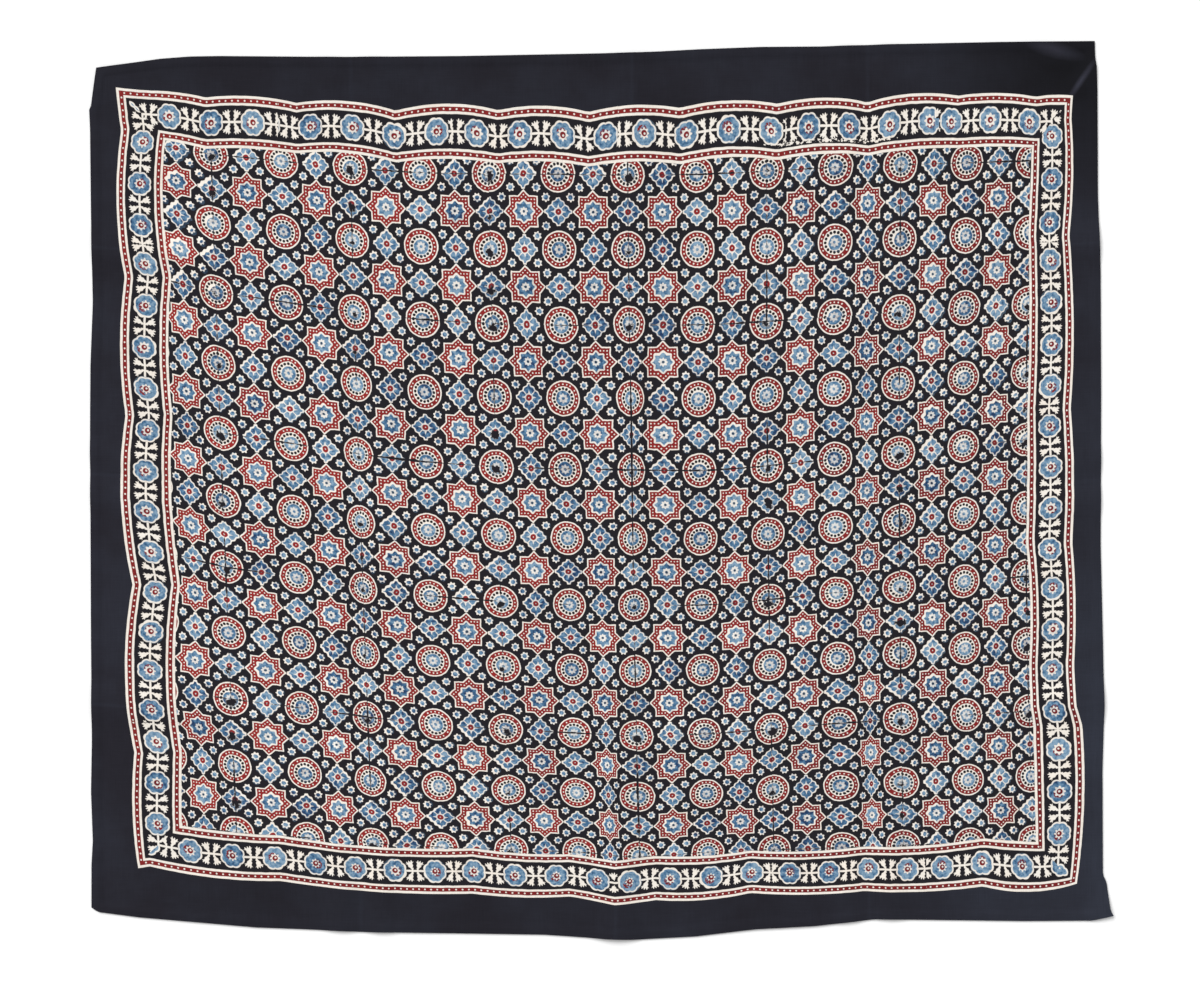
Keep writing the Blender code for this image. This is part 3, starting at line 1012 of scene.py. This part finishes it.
def border_material(dyes, sizes):
    """The border's print: beaded stripes, and flowers and leaf pairs between them."""
    recipe, place, x, y, (tone, height) = cotton("border_print")
    uv = recipe.node("ShaderNodeUVMap", {"uv_map": PRINT_UV})
    wobble_u, wobble_v, _ = recipe.parts(recipe.noise(uv, 5.0, 1.0, output="Color"))
    plain_a, plain_b, _ = recipe.parts(uv)
    a = plain_a + (wobble_u - 0.5) * 0.03
    b = plain_b + (wobble_v - 0.5) * 0.02
    along = (a - round(a)) * FLOWER_STEP
    up = (b - 0.5) * BAND
    out = abs(up)
    inks = Inks()

    # The beaded stripes
    edge, red_start = within(out, BAND_WHITE), within(out, BAND_RED)
    red_end, ground = within(out, BAND_LINE), within(out, BAND_GROUND)
    red = red_start - red_end
    count = a * BAND_BEADS
    bead_off = (count - round(count)) * (FLOWER_STEP / BAND_BEADS)
    white_beads = within(length(bead_off, out - (BAND_RED + BAND_LINE) / 2), BAND_BEAD)
    stripes = edge - red_start + red * white_beads + red_end - ground
    inks.add(white=stripes, red=red * (1 - white_beads))

    # The flowers, their slipped indigo and the stray red in them
    squeezed = along * FLOWER_SQUEEZE
    radius, angle = length(squeezed, up), turn(up, squeezed)
    outline = abs(maths("SINE", angle * 4)) * FLOWER_WAVE * 2 - FLOWER_WAVE
    flower, inside = within(radius - outline, FLOWER), within(radius - outline, FLOWER - FLOWER_LINE)
    tint_x, tint_y, tint_z = recipe.parts(recipe.chance(round(a), 2.0, 1.0, "Color"))
    shrunk = tint_x * 1.3 + within(y, -0.35, 0.02) * 0.8
    heart = within(radius - petals(angle, 8) + shrunk, FLOWER_HEART)
    eye, pip = within(radius, FLOWER_EYE), within(length(squeezed - 0.4, up - 0.5), FLOWER_PIP)
    white = flower - inside + heart * (1 - eye) + pip
    indigo_slip = 2 * sizes.indigo_slip / MM
    slipped = length(squeezed - (tint_x - 0.5) * indigo_slip, up - (tint_y - 0.5) * indigo_slip)
    indigo = within(slipped, FLOWER - 0.6)
    red_x, red_y, _ = recipe.parts(recipe.chance(round(a / SETTING_GAP), 4.0, 1.0, "Color"))
    stray = within(length(squeezed - (red_x - 0.5) * 8, up - (red_y - 0.5) * 8), FLOWER_STRAY)
    stray = stray * inside * (1 - heart) * within(recipe.noise(uv, 22), 0.55, 0.1)
    red = higher(eye * (1 - pip), stray)
    inks.add(white=white, open=inside * (1 - eye), red=red, indigo=indigo)

    # The leaf pairs between the flowers, and the line that they stand on
    off = (a - maths("FLOOR", a) - 0.5) * FLOWER_STEP
    line = within(out, STALK) * (1 - flower)
    inks.add(white=higher(leaf_pair(off, up), line))

    # Specks of lost black
    lost = within(abs(x - LOST_X), LOST_HALF, 0.04) * within(LOST_LOW - y, 0.0, 0.01)
    lost = lost * within(abs(up - 14), 3.0, 4.0)
    inks.add(white=within(recipe.noise(place, 330) - lost * 0.5, 0.0, 0.05))

    deep = 0.42 + x * 0.2 - y * 0.15
    colour = dyed(recipe, inks, dyes, place, recipe.vector(a * 0.6, b * 0.7), tint_z - 0.35, deep)
    return recipe.finish(colour, tone * 0.97, height)


def linked(name, data):
    """A new object at the origin of the scene."""
    thing = bpy.data.objects.new(name, data)
    bpy.context.scene.collection.objects.link(thing)
    return thing


class AJRAKH_OT_cloth(Operator):
    """Makes the printed cotton cloth in place of the plain CAD sheet"""

    bl_idname = "ajrakh.cloth"
    bl_label = "Printed cloth"

    def execute(self, context):
        sizes, dyes = context.scene.ajrakh_sizes, context.scene.ajrakh_dyes
        cloth = linked(CLOTH, sheet_mesh(CLOTH, sizes))
        for material in (margin_material(dyes), border_material(dyes, sizes), field_material(dyes, sizes)):
            cloth.data.materials.append(material)
        if cloth.data.validate():
            raise RuntimeError("the sheet's mesh has faces that don't hold together")
        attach(cloth, "root")
        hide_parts(CAD_NODE)
        2 * HALF_WIDTH
        2 * HALF_LENGTH
        return {"FINISHED"}


class AJRAKH_OT_stage(Operator):
    """Sets a pale floor, a soft light and the camera straight above the cloth"""

    bl_idname = "ajrakh.stage"
    bl_label = "Stage"

    def execute(self, context):
        light = context.scene.ajrakh_light
        self.floor(light)
        self.lights(context, light)
        self.camera(context, light)
        context.scene.view_settings.view_transform = "Standard"
        return {"FINISHED"}

    def floor(self, light):
        reach, below = 12.0, 0.3 * MM
        mesh = bpy.data.meshes.new("floor")
        corners = [(-reach, -reach), (reach, -reach), (reach, reach), (-reach, reach)]
        mesh.from_pydata([(x, y, -below) for x, y in corners], [], [(0, 1, 2, 3)])
        recipe = Recipe("pale_floor")
        looks = {"Base Color": (*light.floor, 1), "Roughness": 0.9, "Specular IOR Level": 0.1}
        plug(recipe.shader, looks)
        mesh.materials.append(recipe.material)
        linked("floor", mesh)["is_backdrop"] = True

    def lights(self, context, light):
        world = bpy.data.worlds.new("studio")
        world.use_nodes = True
        background = world.node_tree.nodes["Background"]
        background.inputs["Color"].default_value = (1, 1, 1, 1)
        background.inputs["Strength"].default_value = light.surround
        context.scene.world = world
        lamp = bpy.data.lights.new("soft_lamp", "SUN")
        lamp.energy = light.lamp
        lamp.angle = light.spread
        height, bearing = radians(48), radians(128)
        linked("soft_lamp", lamp).rotation_euler = (pi / 2 - height, 0, bearing + pi / 2)

    def camera(self, context, light):
        lens = bpy.data.cameras.new("camera")
        lens.lens = lens.sensor_width * light.camera_height / light.picture_width
        camera = linked("camera", lens)
        middle_x, middle_y = -1.4 * MM, -2.4 * MM
        camera.location = (middle_x, middle_y, light.camera_height)
        context.scene.camera = camera


class AJRAKH_PT_panel(Panel):
    """Lists the cloth's sizes, dyes and light, and makes them"""

    bl_idname = "AJRAKH_PT_panel"
    bl_label = "Ajrakh cloth"
    bl_space_type = "VIEW_3D"
    bl_region_type = "UI"
    bl_category = "Ajrakh"

    def draw(self, context):
        scene = context.scene
        for group, operator in (
            (scene.ajrakh_sizes, None),
            (scene.ajrakh_dyes, AJRAKH_OT_cloth.bl_idname),
            (scene.ajrakh_light, AJRAKH_OT_stage.bl_idname),
        ):
            box = self.layout.box()
            for name in group.__annotations__:
                box.prop(group, name)
            if operator:
                box.operator(operator)


CLASSES = (ClothSizes, ClothDyes, StageLight, AJRAKH_OT_cloth, AJRAKH_OT_stage, AJRAKH_PT_panel)


def register():
    for each in CLASSES:
        bpy.utils.register_class(each)
    bpy.types.Scene.ajrakh_sizes = PointerProperty(type=ClothSizes)
    bpy.types.Scene.ajrakh_dyes = PointerProperty(type=ClothDyes)
    bpy.types.Scene.ajrakh_light = PointerProperty(type=StageLight)


def unregister():
    del bpy.types.Scene.ajrakh_light
    del bpy.types.Scene.ajrakh_dyes
    del bpy.types.Scene.ajrakh_sizes
    for each in reversed(CLASSES):
        bpy.utils.unregister_class(each)


def main():
    register()
    bpy.ops.ajrakh.cloth()
    bpy.ops.ajrakh.stage()
    boxes = {"cad": CAD_BOX, "visual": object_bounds()}
    {name: [list(corner) for corner in box] for name, box in boxes.items()}


if __name__ == "__main__":
    main()
